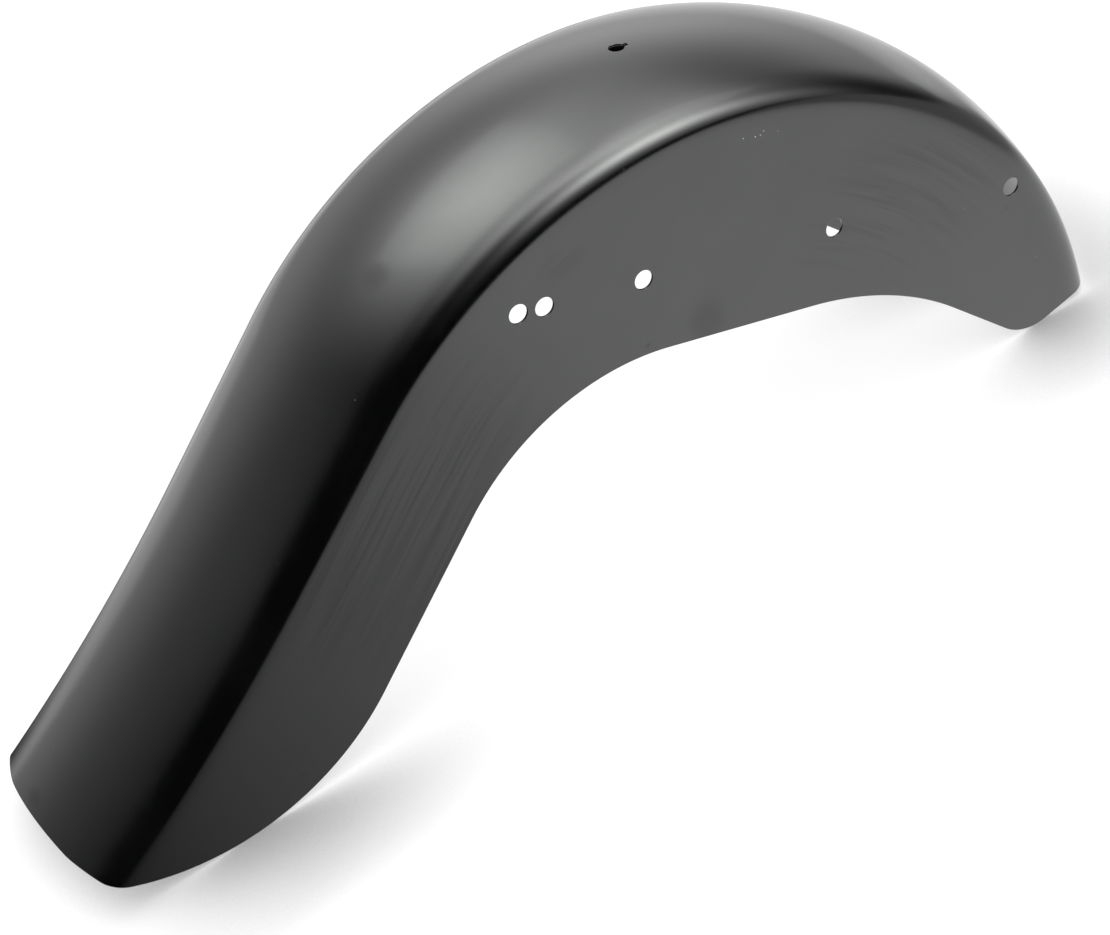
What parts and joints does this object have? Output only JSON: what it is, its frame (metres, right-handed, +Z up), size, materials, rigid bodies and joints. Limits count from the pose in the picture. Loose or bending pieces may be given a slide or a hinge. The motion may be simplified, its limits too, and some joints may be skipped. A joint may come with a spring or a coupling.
{
  "type": "stretched rear fender",
  "caption": "Stretched rear fender for a motorcycle, one pressed steel sheet: domed crown, flat side walls, lower edge arched over the axle and a long kicked-out tail.",
  "frame": {"origin": "on the floor under the middle of the fender's box: half way along it and half way across it", "axes": "+X along the fender to its front end, +Y across it to the left wall, +Z up; the fender stands on the rounded lower edges of its tail and on its two front tips"},
  "size_m": [0.8871, 0.178, 0.3509],
  "materials": {
    "coat": "satin black primer coat"
  },
  "bodies": {
    "root": {"fender": "coat"}
  },
  "joints": []
}
